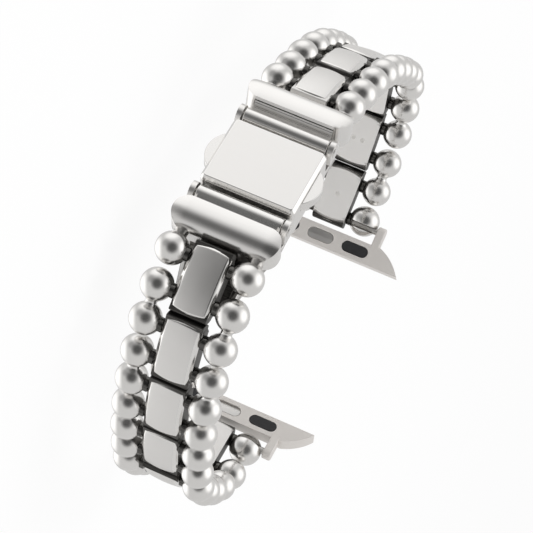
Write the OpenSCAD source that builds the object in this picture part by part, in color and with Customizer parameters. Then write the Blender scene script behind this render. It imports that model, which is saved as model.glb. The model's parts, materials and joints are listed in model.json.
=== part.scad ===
// Link bracelet for a watch, standing on its edge: blocks and bead pairs chained by pins,
// a folding clasp with two push buttons, and two adapters that slide into the watch case.
// +Z runs across the band, the clasp faces -Y and the gap for the watch is at +Y.

/* [Links] */
// Diameter of a bead
bead_d = 5.3; // [4.8:0.1:5.5]
// Distance between the centres of the two beads of a row
bead_span = 12.9; // [12.5:0.1:14]
// Distance between the two pins of a block
block_pitch = 6; // [5.8:0.1:6.6]
// Distance between the two pins of a bead pair
pair_pitch = 5.8; // [5.6:0.1:6.4]
// Width of a block across the band
block_w = 6.5; // [5.8:0.1:6.9]
// How far a block reaches past its pins
block_reach = 2.2; // [2:0.05:2.2]
// Height of a block's outer face above its pins
block_out = 1.6; // [1.4:0.1:1.8]
// Depth of a block's wrist face below its pins
block_in = 2.3; // [2:0.1:2.4]
// Radius of the crown on a block's outer face
block_crown = 30; // [20:5:60]
// Radius of the bow of a block's ends, seen from outside
block_bow = 12; // [10:1:20]
// Radius of a block's corners
block_round = 0.8; // [0.4:0.1:1]
// Width of the bevel along a block's long edges
block_bevel = 0.45; // [0.3:0.05:0.6]
// Diameter of a link pin
pin_d = 1.2; // [1:0.1:1.4]
// Diameter of the neck that joins the two beads of a pair
neck_d = 1.9; // [1.4:0.1:2.4]
// Diameter of the collar between a bead and a block
collar_d = 3.2; // [2.6:0.1:3.6]
// Diameter of the slotted beads next to the watch
end_bead_d = 5.8; // [5.4:0.1:6]
// Width of the slot in those beads
slot_w = 1.1; // [0.8:0.1:1.4]
// Diameter of the dimples in the wrist faces of the last three blocks
dimple_d = 0.9; // [0.6:0.1:1.2]

/* [Clasp] */
// Length of the cover along the band
cover_l = 13.3; // [12.9:0.1:13.5]
// Width of the cover across the band
cover_w = 16.4; // [16:0.1:16.8]
// Height of the cover above the hinge bars
cover_top = 1.9; // [1.8:0.1:2.4]
// Wall of the cover
cover_wall = 0.9; // [0.7:0.1:1.1]
// Width of the bevel around the top of the cover
cover_bevel = 0.6; // [0.4:0.1:0.7]
// Depth of that bevel
cover_bevel_deep = 0.8; // [0.5:0.1:0.8]
// Distance from the middle of the clasp to a hinge bar
bar_x = 8.6; // [8.5:0.1:9]
// Diameter of a hinge bar
bar_d = 1.5; // [1.3:0.1:1.7]
// Diameter of the barrel that turns on a hinge bar
barrel_d = 3.2; // [2.9:0.1:3.3]
// Distance from each long side of the cover in to the end of the barrel
barrel_in = 0.7; // [0.6:0.05:0.9]
// Thickness of an ear that holds a hinge bar
ear_t = 0.9; // [0.7:0.1:1.1]
// Diameter of an ear
ear_d = 3.4; // [3.2:0.05:3.4]
// Length of a push button along the band
button_l = 7.2; // [6.6:0.1:7.4]
// How far a push button stands out
button_out = 1.75; // [1.5:0.05:2]
// Thickness of a push button
button_t = 1.8; // [1.5:0.1:2]
// Radius of the curve of the base blade
blade_r = 62; // [58:1:70]
// Depth of the base blade's middle line below the hinge bars
blade_y = 4.3; // [4.2:0.1:4.6]
// Thickness of the base blade
blade_t = 1; // [0.8:0.1:1.1]
// Width of the base blade
blade_w = 15.6; // [15.2:0.1:16]
// Thickness of an arm
arm_t = 0.9; // [0.7:0.1:1]
// Width of an arm
arm_w = 13.2; // [12:0.2:13.8]
// Distance from the middle of the clasp to an arm's hinge
hinge_x = 21.5; // [20.5:0.5:22]
// Diameter of an arm's hinge knuckle
knuckle_d = 2.4; // [2.2:0.1:2.6]

/* [End pieces] */
// Distance from a hinge bar to the first row of beads
end_l = 10.7; // [10.6:0.1:11.2]
// Length of the rounded bar across the band
pill_w = 18.2; // [17.8:0.1:18.8]
// Width of that bar along the band
pill_l = 5.05; // [4.6:0.05:5.1]
// Distance from a hinge bar to the middle of that bar
pill_x = 5.2; // [5.1:0.05:5.25]
// Height of that bar's outside above the hinge bar
pill_out = 2.5; // [2.3:0.1:2.6]
// Depth of its wrist side below the hinge bar
pill_in = 1.4; // [1.2:0.1:2]
// Radius of the bar's domed outside
pill_dome = 5.6; // [5:0.1:7]
// How far the dome's highest line lies from the bar's middle towards the clasp
pill_lean = 1.7; // [0.5:0.1:2]

/* [Adapters] */
// Distance from the spring bar to the near edge of the rail
rail_near = 2.8; // [2.7:0.1:3.2]
// Depth of the rail along the band
rail_l = 4; // [3.8:0.1:4.4]
// Length of the rail from horn tip to horn tip
rail_w = 32.8; // [31.6:0.2:33.4]
// Thickness of the rail
rail_t = 2.5; // [2.3:0.1:2.8]
// Radius of the curve of the horns at the ends of the rail
horn_r = 9.3; // [9:0.1:10]
// Width of an adapter arm
fork_w = 1.6; // [1.4:0.1:1.8]
// Gap between the two adapter arms
fork_gap = 19.2; // [19:0.1:19.8]
// Diameter of an adapter arm's round end
fork_d = 2.3; // [2:0.1:2.5]
// Diameter of the spring bar in the adapter
spring_bar_d = 1.3; // [1.1:0.1:1.4]
// Length of the lock button
lock_l = 5.1; // [4.6:0.1:5.4]
// Width of the lock button
lock_w = 2.1; // [1.8:0.1:2.3]
// Length of a rubber pad
pad_l = 5.2; // [4.8:0.1:5.4]
// Width of a rubber pad
pad_w = 2.1; // [1.7:0.1:2.3]
// Distance from the middle of the rail to a pad
pad_z = 7.1; // [6.8:0.1:7.4]

/* [Pose] */
// Angle of the right end piece at rest
right_end_a = 4; // [2:1:9]
// Angle of the right half's first block at rest
right_start_a = 34; // [30:1:36]
// Angle of the left end piece at rest
left_end_a = 9; // [4:1:9]
// Angle of the left half's first block at rest
left_start_a = 26; // [24:1:30]

/* [Hidden] */
// Radial play of what turns or slides
play = 0.05;
// Radial play of what is pressed in
press = 0.01;
// Gap between pieces that pass each other
gap = 0.1;
// Length of the barrel
barrel_l = cover_w - 2 * barrel_in;

// The bend at each row from the second on, as runs of [rows, degrees], from the clasp to the watch
right_runs = [[2, 14], [2, 8], [3, 6], [1, 18], [2, 7], [1, 14], [1, 32]];
left_runs = [[1, 0], [3, 7], [2, 3], [1, 17], [1, 26], [2, 16], [2, 8]];
// The bend between the last block and the adapter
right_adapter_bend = 2;
left_adapter_bend = 12;

blocks = 7;
rows = 2 * blocks;
bead_z = bead_span / 2;
// The spring bar lies a little nearer the watch and the wrist than the last row of beads
bar_ahead = 1;
bar_deep = 0.25;

NODES = [
    "clasp_base", "clasp_cover", "clasp_hinge_pins", "top_button", "bottom_button", "button_spring",
    "right_arm", "right_end_piece", "right_end_pins",
    "right_block_1", "right_block_2", "right_block_3", "right_block_4",
    "right_block_5", "right_block_6", "right_block_7",
    "right_beads_1", "right_beads_2", "right_beads_3",
    "right_beads_4", "right_beads_5", "right_beads_6",
    "right_pins_1", "right_pins_2", "right_pins_3",
    "right_pins_4", "right_pins_5", "right_pins_6",
    "right_slotted_beads", "right_spring_bar", "right_adapter", "right_lock_button", "right_pads",
    "left_arm", "left_end_piece", "left_end_pins",
    "left_block_1", "left_block_2", "left_block_3", "left_block_4",
    "left_block_5", "left_block_6", "left_block_7",
    "left_beads_1", "left_beads_2", "left_beads_3",
    "left_beads_4", "left_beads_5", "left_beads_6",
    "left_pins_1", "left_pins_2", "left_pins_3",
    "left_pins_4", "left_pins_5", "left_pins_6",
    "left_slotted_beads", "left_spring_bar", "left_adapter", "left_lock_button", "left_pads"
];
node = "all";

$fn = 48;

// One half of the chain: its angles and the places of its rows, with X away from the clasp
function spread(runs) = [for (run = runs) for (i = [1:run[0]]) run[1]];
function sum_to(list, n) = n == 0 ? 0 : list[n - 1] + sum_to(list, n - 1);
function heading(start_a, runs, row) = start_a + sum_to(spread(runs), row - 1);
function way(a) = [cos(a), sin(a)];
function pitch(row) = row % 2 == 1 ? block_pitch : pair_pitch;
function row_at(end_a, start_a, runs, row) =
    row == 1
    ? [bar_x, 0] + end_l * way(end_a)
    : row_at(end_a, start_a, runs, row - 1) + pitch(row - 1) * way(heading(start_a, runs, row - 1));
function right_row(row) = row_at(right_end_a, right_start_a, right_runs, row);
function left_row(row) = row_at(left_end_a, left_start_a, left_runs, row);

// The origin is the middle of the whole bracelet
right_most = max([for (row = [1:rows]) right_row(row)[0]]);
left_most = max([for (row = [1:rows]) left_row(row)[0]]);
deepest = max([for (row = [1:rows]) right_row(row)[1]]);
mid_x = (right_most - left_most) / 2;
mid_y = (deepest + end_bead_d / 2 - pill_out) / 2;

// The base blade is an arc about this point, and the arms lie on it
blade_centre_y = blade_y + blade_r;
function arc_y(r, x) = blade_centre_y - sqrt(r * r - x * x);
hinge_y = arc_y(blade_r, hinge_x);
arm_in_r = blade_r + blade_t / 2 + 2 * gap;
arm_out_r = arm_in_r + arm_t;

// Puts a right-hand shape in its place, or its mirror image on the left
module in_clasp(side) {
    translate([-mid_x, -mid_y, 0]) mirror([side < 0 ? 1 : 0, 0, 0]) children();
}

// Places a shape at a row of one half, with X along the band and Y towards the wrist
module at_row(side, row) {
    place = side > 0 ? right_row(row) : left_row(row);
    last = min(row, rows - 1);
    angle = side > 0 ? heading(right_start_a, right_runs, last) : heading(left_start_a, left_runs, last);
    in_clasp(side) translate(place) rotate([0, 0, angle]) children();
}

module at_end(side) {
    in_clasp(side) translate([bar_x, 0]) rotate([0, 0, side > 0 ? right_end_a : left_end_a]) children();
}

// The adapter turns on its spring bar
module at_adapter(side) {
    at_row(side, rows) translate([bar_ahead, bar_deep])
        rotate([0, 0, side > 0 ? right_adapter_bend : left_adapter_bend]) children();
}

module rounded(x0, x1, y0, y1, r) {
    translate([x0 + r, y0]) square([x1 - x0 - 2 * r, y1 - y0]);
    translate([x0, y0 + r]) square([x1 - x0, y1 - y0 - 2 * r]);
    for (x = [x0 + r, x1 - r], y = [y0 + r, y1 - r]) translate([x, y]) circle(r);
}

module oval(length, width) {
    square([width, length - width], center = true);
    for (s = [-1, 1]) translate([0, s * (length - width) / 2]) circle(d = width);
}

module rod(d, length) {
    cylinder(d = d, h = length, center = true);
}

// The centre block of a link, with a bore for each of its two pins; the last one turns on the spring bar
module block(dimples = 0, last = false) {
    back = -block_reach;
    front = block_pitch + block_reach;
    half = block_w / 2;
    b = block_bevel;
    side_round = min(block_round, block_reach / 2);
    difference() {
        intersection() {
            linear_extrude(block_w, center = true) intersection() {
                rounded(back, front, -block_out, block_in, side_round);
                translate([block_pitch / 2, block_crown - block_out]) circle(block_crown, $fn = 240);
            }
            rotate([90, 0, 0]) linear_extrude(4 * block_in, center = true) intersection() {
                rounded(back, front, -half, half, block_round);
                translate([front - block_bow, 0]) circle(block_bow, $fn = 180);
                translate([back + block_bow, 0]) circle(block_bow, $fn = 180);
            }
            rotate([0, 90, 0]) linear_extrude(3 * front, center = true) polygon([
                [-half + b, -block_out], [half - b, -block_out], [half, -block_out + b],
                [half, block_in - b], [half - b, block_in], [-half + b, block_in],
                [-half, block_in - b], [-half, -block_out + b]
            ]);
        }
        rod(pin_d + 2 * play, 2 * block_w);
        translate([block_pitch, 0]) {
            if (last) translate([bar_ahead, bar_deep]) rod(spring_bar_d + 2 * play, 2 * block_w);
            else rod(pin_d + 2 * play, 2 * block_w);
        }
        for (i = [0:1:dimples - 1])
            translate([block_pitch / 2, block_in, (i - (dimples - 1) / 2) * 2 * dimple_d])
                sphere(d = dimple_d, $fn = 24);
    }
}

// One bead with the collar that spaces it from the block, drilled from inside for its pin
module bead(d, pin) {
    collar_z = block_w / 2 + play;
    difference() {
        union() {
            translate([0, 0, bead_z]) sphere(d = d, $fn = 64);
            translate([0, 0, collar_z]) cylinder(d = collar_d, h = bead_z - collar_z);
        }
        translate([0, 0, collar_z - 1]) cylinder(d = pin + 2 * press, h = pin_half - collar_z + 1);
    }
}
pin_half = bead_z + 1;

// The two beads of a pair, one dumb-bell on each side of the band
module bead_pair() {
    for (side = [0, 1]) mirror([0, 0, side]) {
        bead(bead_d, pin_d);
        translate([pair_pitch, 0]) bead(bead_d, pin_d);
        translate([bead_d / 4, 0, bead_z]) rotate([0, 90, 0])
            cylinder(d = neck_d, h = pair_pitch - bead_d / 2);
    }
}

module link_pin() {
    rod(pin_d, 2 * pin_half);
}

// The slotted beads next to the watch sit on the spring bar and turn with the last block
module slotted_beads() {
    bead_in = bead_z - end_bead_d * 0.36;
    for (side = [0, 1]) mirror([0, 0, side]) difference() {
        union() {
            translate([0, 0, bead_z]) sphere(d = end_bead_d, $fn = 64);
            translate([0, 0, block_w / 2 + play]) cylinder(d = collar_d, h = bead_z - block_w / 2);
        }
        translate([bar_ahead, bar_deep]) cylinder(d = spring_bar_d + 2 * play, h = fork_gap);
        translate([bar_ahead - slot_w / 2, bar_deep, bead_in]) cube([slot_w, end_bead_d, end_bead_d]);
    }
}

// The bar with domed ends that carries the first row of beads and turns on the hinge bar
module end_piece() {
    front = pill_x + pill_l / 2;
    back = pill_x - pill_l / 2;
    corner = pill_l * 0.46;
    half = pill_w / 2;
    neck = collar_d * 0.7;
    difference() {
        union() {
            intersection() {
                linear_extrude(pill_w, center = true) intersection() {
                    translate([back, -pill_out]) square([pill_l, pill_out + pill_in]);
                    translate([pill_x - pill_lean, pill_dome - pill_out]) circle(pill_dome, $fn = 120);
                }
                rotate([90, 0, 0]) linear_extrude(3 * pill_out, center = true)
                    rounded(back, front, -half, half, corner);
            }
            rod(barrel_d, barrel_l);
            translate([0, -barrel_d * 0.42, -barrel_l / 2 + corner / 2])
                cube([pill_x, barrel_d * 0.78, barrel_l - corner]);
            for (s = [-1, 1]) translate([pill_x, 0, s * bead_z]) rotate([0, 90, 0])
                cylinder(d = neck, h = end_l - pill_x);
            translate([end_l, 0]) for (s = [0, 1]) mirror([0, 0, s]) bead(bead_d, pin_d);
        }
        rod(bar_d + 2 * press, 2 * barrel_l);
        for (s = [-1, 1]) translate([end_l, 0, s * (pin_half + block_w / 2) / 2])
            rod(pin_d + 2 * press, pin_half - block_w / 2);
    }
}

// The hinge bar at the clasp and the first link pin
module end_pins() {
    rod(bar_d, cover_ear_z * 2 + 2 * ear_t);
    translate([end_l, 0]) link_pin();
}
cover_ear_z = barrel_l / 2 + gap;

// A curved strip on the blade's arc, between two distances from the middle of the clasp
module strip(r_in, r_out, x0, x1, width) {
    linear_extrude(width, center = true) intersection() {
        translate([0, blade_centre_y]) difference() {
            circle(r_out, $fn = 360);
            circle(r_in, $fn = 360);
        }
        translate([x0, 0]) square([x1 - x0, hinge_y + 2 * knuckle_d]);
    }
}

// The base blade lies against the wrist, with two knuckles at each end
module clasp_base() {
    knuckle_z = blade_w / 2 - knuckle_l;
    difference() {
        union() {
            strip(blade_r - blade_t / 2, blade_r + blade_t / 2, -hinge_x, hinge_x, blade_w);
            for (x = [-hinge_x, hinge_x], s = [0, 1]) mirror([0, 0, s])
                translate([x, hinge_y, knuckle_z]) cylinder(d = knuckle_d, h = knuckle_l);
        }
        for (x = [-hinge_x, hinge_x]) translate([x, hinge_y, 0]) {
            rod(pin_d + 2 * press, 2 * blade_w);
            rod(knuckle_d + 4 * gap, 2 * knuckle_z);
        }
    }
}
knuckle_l = 3.5;

// An arm lies on the base blade and carries a hinge bar between its two ears
module arm() {
    centre_z = blade_w / 2 - knuckle_l - gap;
    stop_x = cover_l / 2 + 2 * gap;
    ear_z = cover_ear_z;
    outer_z = ear_z + ear_t;
    lip_y = arc_y(arm_in_r, stop_x) - arm_lip;
    difference() {
        union() {
            strip(arm_in_r, arm_out_r, stop_x, hinge_x, arm_w);
            strip(arm_in_r, arm_out_r, stop_x, bar_x + ear_d / 2, 2 * outer_z);
            translate([hinge_x, hinge_y]) rod(knuckle_d, 2 * centre_z);
            translate([stop_x, lip_y, -outer_z]) cube([arm_lip_l, arm_lip, 2 * outer_z]);
            for (s = [0, 1]) mirror([0, 0, s]) translate([bar_x, 0, ear_z]) {
                cylinder(d = ear_d, h = ear_t);
                translate([-ear_d / 2, 0]) cube([ear_d, arc_y(arm_in_r, bar_x) - gap, ear_t]);
            }
        }
        translate([bar_x, 0]) rod(bar_d + 2 * play, 4 * outer_z);
        translate([hinge_x, hinge_y]) rod(pin_d + 2 * play, 4 * outer_z);
        for (s = [0, 1]) mirror([0, 0, s]) translate([hinge_x, hinge_y, centre_z])
            cylinder(d = knuckle_d + 8 * gap, h = blade_w);
    }
}
arm_lip = 2.3;
arm_lip_l = 0.7;

module hinge_pins() {
    for (x = [-hinge_x, hinge_x]) translate([x, hinge_y]) rod(pin_d, blade_w);
}

// The cover is a box, open towards the wrist, that stands on the base blade
module clasp_cover() {
    x = cover_l / 2;
    z = cover_w / 2;
    b = cover_bevel;
    deep = cover_bevel_deep;
    foot = blade_y;
    in_x = x - cover_wall;
    in_z = z - cover_wall;
    difference() {
        intersection() {
            linear_extrude(cover_w, center = true) polygon([
                [-x + b, -cover_top], [x - b, -cover_top], [x, -cover_top + deep],
                [x, foot], [-x, foot], [-x, -cover_top + deep]
            ]);
            rotate([0, 90, 0]) linear_extrude(cover_l, center = true) polygon([
                [-z + b, -cover_top], [z - b, -cover_top], [z, -cover_top + deep],
                [z, foot], [-z, foot], [-z, -cover_top + deep]
            ]);
        }
        translate([-in_x, -cover_top + cover_wall, -in_z]) cube([2 * in_x, 2 * foot, 2 * in_z]);
        translate([0, button_y]) cube([button_l + 2 * gap, button_t + 2 * gap, 2 * cover_w], center = true);
        translate([0, blade_centre_y])
            cylinder(r = blade_r + blade_t / 2, h = 2 * cover_w, center = true, $fn = 360);
    }
}

// A half-moon button with a retaining bar and a boss for the spring inside the cover
module push_button() {
    wall_z = cover_w / 2;
    in_z = wall_z - cover_wall - gap;
    r = (button_l * button_l / 4 + button_out * button_out) / (2 * button_out);
    translate([0, button_y]) {
        rotate([90, 0, 0]) linear_extrude(button_t, center = true) {
            intersection() {
                translate([0, wall_z + button_out - r]) circle(r, $fn = 96);
                translate([-button_l / 2, wall_z]) square([button_l, button_out]);
            }
            translate([-button_l / 2, in_z - 0.5]) square([button_l, wall_z - in_z + 0.5]);
        }
        translate([-retainer_l / 2, -retainer_t / 2, in_z - retainer_t])
            cube([retainer_l, retainer_t, retainer_t]);
        translate([0, 0, spring_half + gap])
            cylinder(d = boss_d, h = in_z - spring_half - gap - retainer_t / 2);
    }
}
button_y = 0.15;
retainer_l = 9.8;
retainer_t = 1.2;
boss_d = 2;
spring_half = 3;

// The spring between the two buttons: one wire wound round and round, in twelve straight steps a turn
spring_wire = 0.3;
spring_d = 1.7;
spring_turns = 9;
spring_steps = 12;
function coil_point(i) =
    let (a = 360 * i / spring_steps, rise = 2 * spring_half - spring_wire)
    [spring_d / 2 * cos(a), button_y + spring_d / 2 * sin(a),
     rise * (i / (spring_turns * spring_steps) - 0.5)];
module button_spring() {
    count = spring_turns * spring_steps;
    sides = 6;
    ring = [for (i = [0:count]) let (p = coil_point(i), a = 360 * i / spring_steps)
        for (j = [0:sides - 1]) let (t = 360 * j / sides)
            p + spring_wire / 2 * [cos(t) * cos(a), cos(t) * sin(a), sin(t)]];
    polyhedron(ring, concat(
        [for (i = [0:count - 1]) for (j = [0:sides - 1]) let (k = (j + 1) % sides)
            each [[i * sides + j, i * sides + k, (i + 1) * sides + k],
                  [i * sides + j, (i + 1) * sides + k, (i + 1) * sides + j]]],
        [for (j = [1:sides - 2]) [0, j + 1, j]],
        [for (j = [1:sides - 2]) [count * sides, count * sides + j, count * sides + j + 1]]
    ));
}

// The adapter: a rail with horned ends, and two arms that hold the spring bar
module adapter() {
    far = rail_near + rail_l;
    tip_z = rail_w / 2;
    arm_z = fork_gap / 2;
    horn_z = tip_z - horn_r * 0.86;
    horn_x = far + horn_r * 0.51;
    t = rail_t / 2;
    difference() {
        union() {
            translate([0, -bar_deep]) intersection() {
                rotate([90, 0, 0]) linear_extrude(rail_t, center = true) {
                    translate([rail_near, -horn_z]) square([rail_l, 2 * horn_z]);
                    intersection() {
                        translate([rail_near, -tip_z]) square([rail_l, 2 * tip_z]);
                        for (s = [-1, 1]) translate([horn_x, s * horn_z]) circle(horn_r, $fn = 120);
                    }
                }
                linear_extrude(4 * tip_z, center = true) rounded(rail_near, far, -t, t, rail_edge);
            }
            for (s = [-1, 1]) translate([0, 0, s * (arm_z + fork_w / 2)])
                linear_extrude(fork_w, center = true) {
                    circle(d = fork_d);
                    translate([0, -fork_d / 2]) square([rail_near + rail_edge, fork_d - bar_deep]);
                }
        }
        rod(spring_bar_d + 2 * press, 2 * arm_z + fork_w);
        on_rail(0) oval_cut(lock_l + 2 * play, lock_w + 2 * play, lock_depth);
        for (s = [-1, 1]) on_rail(s * pad_z) oval_cut(pad_l + 2 * press, pad_w + 2 * press, pad_depth);
    }
}
rail_edge = 0.7;
lock_depth = 1.9;
pad_depth = 0.8;

module on_rail(z) {
    translate([rail_near + rail_l / 2, rail_t / 2 - bar_deep, z]) children();
}

module oval_cut(length, width, depth) {
    rotate([90, 0, 0]) translate([0, 0, -1]) linear_extrude(depth + 1) oval(length, width);
}

module oval_plug(length, width, top, bottom) {
    rotate([90, 0, 0]) translate([0, 0, -top]) linear_extrude(top - bottom) oval(length, width);
}

module spring_bar() {
    rod(spring_bar_d, fork_gap + fork_w);
}

module lock_button() {
    on_rail(0) oval_plug(lock_l, lock_w, -gap, -lock_depth + 0.6);
}

module pads() {
    for (s = [-1, 1]) on_rail(s * pad_z) oval_plug(pad_l, pad_w, 0.05, -pad_depth);
}

// What each node shows: the same modules for both halves
module half(name, side) {
    steel = [0.78, 0.76, 0.73];
    dark = [0.55, 0.53, 0.5];
    if (is(str(name, "_arm"))) color(dark) in_clasp(side) arm();
    if (is(str(name, "_end_piece"))) color(steel) at_end(side) end_piece();
    if (is(str(name, "_end_pins"))) color(dark) at_end(side) end_pins();
    for (i = [1:blocks]) if (is(str(name, "_block_", i)))
        color(steel) at_row(side, 2 * i - 1) block(i == 6 ? 2 : i > 4 ? 1 : 0, i == blocks);
    for (i = [1:blocks - 1]) {
        if (is(str(name, "_beads_", i))) color(steel) at_row(side, 2 * i) bead_pair();
        if (is(str(name, "_pins_", i))) color(dark) at_row(side, 2 * i) {
            link_pin();
            translate([pair_pitch, 0]) link_pin();
        }
    }
    if (is(str(name, "_slotted_beads"))) color(steel) at_row(side, rows) slotted_beads();
    if (is(str(name, "_spring_bar"))) color(dark) at_adapter(side) spring_bar();
    if (is(str(name, "_adapter"))) color(steel) at_adapter(side) adapter();
    if (is(str(name, "_lock_button"))) color(dark) at_adapter(side) lock_button();
    if (is(str(name, "_pads"))) color([0.1, 0.1, 0.1]) at_adapter(side) pads();
}

function is(name) = node == "all" || node == name;

if (is("clasp_base")) color([0.6, 0.58, 0.55]) in_clasp(1) clasp_base();
if (is("clasp_cover")) color([0.8, 0.78, 0.75]) in_clasp(1) clasp_cover();
if (is("clasp_hinge_pins")) color([0.5, 0.5, 0.5]) in_clasp(1) hinge_pins();
if (is("top_button")) color([0.8, 0.78, 0.75]) in_clasp(1) push_button();
if (is("bottom_button")) color([0.8, 0.78, 0.75]) in_clasp(1) mirror([0, 0, 1]) push_button();
if (is("button_spring")) color([0.5, 0.5, 0.5]) in_clasp(1) button_spring();
half("right", 1);
half("left", -1);
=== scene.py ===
"""A metal link bracelet for a watch, dressed for a product picture."""

import json
import math

import bmesh
import bpy
from mathutils import Matrix, Vector


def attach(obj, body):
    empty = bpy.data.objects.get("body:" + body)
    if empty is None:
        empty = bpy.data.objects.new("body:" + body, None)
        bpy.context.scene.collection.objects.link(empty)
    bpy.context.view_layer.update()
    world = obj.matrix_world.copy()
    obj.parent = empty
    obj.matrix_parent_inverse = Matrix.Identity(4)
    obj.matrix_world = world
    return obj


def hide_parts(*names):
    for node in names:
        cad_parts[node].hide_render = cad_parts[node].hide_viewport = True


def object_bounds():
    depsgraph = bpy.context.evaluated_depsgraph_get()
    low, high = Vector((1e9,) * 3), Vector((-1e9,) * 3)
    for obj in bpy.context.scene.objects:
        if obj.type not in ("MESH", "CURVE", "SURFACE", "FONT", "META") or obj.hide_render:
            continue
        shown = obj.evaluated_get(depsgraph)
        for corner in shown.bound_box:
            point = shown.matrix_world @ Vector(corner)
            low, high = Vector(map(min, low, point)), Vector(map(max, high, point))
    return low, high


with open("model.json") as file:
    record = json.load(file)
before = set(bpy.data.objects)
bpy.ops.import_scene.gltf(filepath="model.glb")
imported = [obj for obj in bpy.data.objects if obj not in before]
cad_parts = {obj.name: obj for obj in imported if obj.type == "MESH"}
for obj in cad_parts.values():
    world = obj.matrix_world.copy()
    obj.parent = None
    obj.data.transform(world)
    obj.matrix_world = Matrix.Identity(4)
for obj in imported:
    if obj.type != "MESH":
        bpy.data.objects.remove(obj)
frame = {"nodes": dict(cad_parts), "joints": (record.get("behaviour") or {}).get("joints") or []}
solid_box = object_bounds()

bl_info = {
    "name": "Link bracelet",
    "version": (1, 0, 0),
    "blender": (4, 5, 0),
    "location": "3D View > Sidebar > Bracelet",
    "description": "Builds the blocks, beads, clasp and adapters of a link bracelet, and its stage",
    "category": "Add Mesh",
}

MM = 0.001
SIDES = ("right", "left")
BLOCKS = 7
JOINTS = {j["name"]: j for j in frame["joints"]}

# Sizes that several pieces share, in millimetres: the spring bar's place past the last block's second row,
# along the band and towards the wrist, and a pad's distance from the middle of the rail
BAR_AHEAD, BAR_DEEP = 1.0, 0.25
PAD_ASIDE = 7.1
# Places across the band of the dimples in the wrist faces, by block
DIMPLES = {5: (0,), 6: (-0.9, 0.9), 7: (0,)}
# Centre along the band, centre above the hinge bar and radius of the tight turn of an end piece's bar
PILL_TURN = (4.7, -0.2, 2.9)


# ---- sizes and colours


def number(name, text, default, least=0.0, **more):
    return bpy.props.FloatProperty(name=name, description=text, default=default, min=least, **more)


def length(name, text, default):
    return number(name, text, default, unit="LENGTH")


def share(name, text, default):
    return number(name, text, default, max=1.0, subtype="FACTOR")


def colour(name, text, default):
    return bpy.props.FloatVectorProperty(
        name=name, description=text, default=default, size=3, min=0.0, max=1.0, subtype="COLOR"
    )


class BraceletSizes(bpy.types.PropertyGroup):
    bead: length("Bead", "Diameter of a side bead", 5.4 * MM)
    end_bead: length("Slotted bead", "Diameter of the beads next to the watch", 5.8 * MM)
    bead_offset: length("Bead offset", "Distance from the band's middle to a bead", 6.45 * MM)
    neck: length("Neck", "Radius of the neck between two beads", 0.95 * MM)
    collar: length("Collar", "Radius of the collar between bead and block", 1.2 * MM)
    block_pitch: length("Block pitch", "Distance between the two pins of a block", 6.0 * MM)
    block_width: length("Block width", "Width of a block across the band", 6.5 * MM)
    block_reach: length("Block reach", "How far a block's outer face reaches past its pins", 2.42 * MM)
    block_out: length("Block outside", "Height of a block above its pins", 1.6 * MM)
    block_in: length("Block inside", "Depth of a block below its pins", 2.3 * MM)
    knuckle: length("Knuckle", "Radius of a block's rounded ends, under its outer face", 2.84 * MM)
    block_corner: length("Block corner", "Radius of a block's corners", 0.4 * MM)
    bevel: length("Bevel", "Width of the polished bevels along a block", 0.7 * MM)
    end_bevel: length("End bevel", "Width of the bevels at a block's ends", 0.26 * MM)
    cover_length: length("Cover length", "Length of the clasp's cover along the band", 13.3 * MM)
    cover_width: length("Cover width", "Width of the clasp's cover across the band", 16.4 * MM)
    pill_width: length("End bar width", "Length of an end piece's bar across the band", 18.2 * MM)
    rail_width: length("Rail width", "Length of an adapter's rail from tip to tip", 32.8 * MM)


class BraceletLooks(bpy.types.PropertyGroup):
    steel: colour("Steel", "Colour of the satin steel", (0.80, 0.785, 0.765))
    # Painted shade: a dark colour, streaked with the brushing lines, for faces in the gaps between links, where
    # shade falls
    painted_shade: colour("Recess", "Colour of the steel deep between the links", (0.11, 0.106, 0.1))
    satin: share("Satin", "Roughness of the satin steel", 0.3)
    polish: share("Polish", "Roughness of the polished bevels", 0.12)
    adapter: colour("Adapter", "Colour of the blasted adapters", (0.70, 0.67, 0.64))
    adapter_blast: share("Blasting", "Roughness of the blasted adapters", 0.55)
    rubber: colour("Rubber", "Colour of the rubber pads", (0.012, 0.012, 0.013))
    grain: length("Grain", "Size of the satin steel's grain", 0.12 * MM)
    grain_depth: share("Grain depth", "How strongly the grain shows", 0.12)
    brush: length("Brushing", "Width of the brushing lines", 0.1 * MM)


class BraceletStage(bpy.types.PropertyGroup):
    floor: colour("Floor", "Colour of the floor", (0.93, 0.93, 0.93))
    glow: number("Background", "Brightness of the background", 1.0)
    fill: number("Fill", "Brightness of the light all round", 0.85)
    walls: number("Walls", "Brightness of the tent that the metal mirrors", 0.7)
    opening: number(
        "Opening", "Angle from the middle to the edge of the tent's opening", math.radians(52), subtype="ANGLE"
    )
    opening_shade: share("Opening shade", "How bright the opening of the tent is", 0.08)
    lens: number("Lens", "Focal length", 139.16, least=1.0, unit="CAMERA")


def in_mm(*names):
    """The named sizes of the bracelet, in millimetres."""
    sizes = bpy.context.scene.bracelet_sizes
    return [getattr(sizes, name) / MM for name in names]


# ---- places


def joint_at(name):
    return Vector(JOINTS[name]["pos_m"])


def joint_gap(first, second):
    """Distance between two joints in millimetres."""
    return (joint_at(second) - joint_at(first)).length / MM


def turned(direction, side, inward=True):
    """The direction a quarter turn towards the wrist, or away from it."""
    x, y = direction[0], direction[1]
    left_turn = (side == "right") == inward
    return Vector((-y, x, 0)) if left_turn else Vector((y, -x, 0))


def placing(origin, along, side):
    """From millimetres along the band, towards the wrist and across, to the bracelet's own metres."""
    x = Vector((along[0], along[1], 0)).normalized()
    y = turned(x, side)
    m = Matrix((x, y, x.cross(y))).transposed().to_4x4()
    m.translation = origin
    return m @ Matrix.Diagonal((MM, MM, MM, 1.0))


def clasp_place():
    middle = (joint_at("right_end_swing") + joint_at("left_end_swing")) / 2
    return placing(middle, (1, 0, 0), "right")


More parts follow.
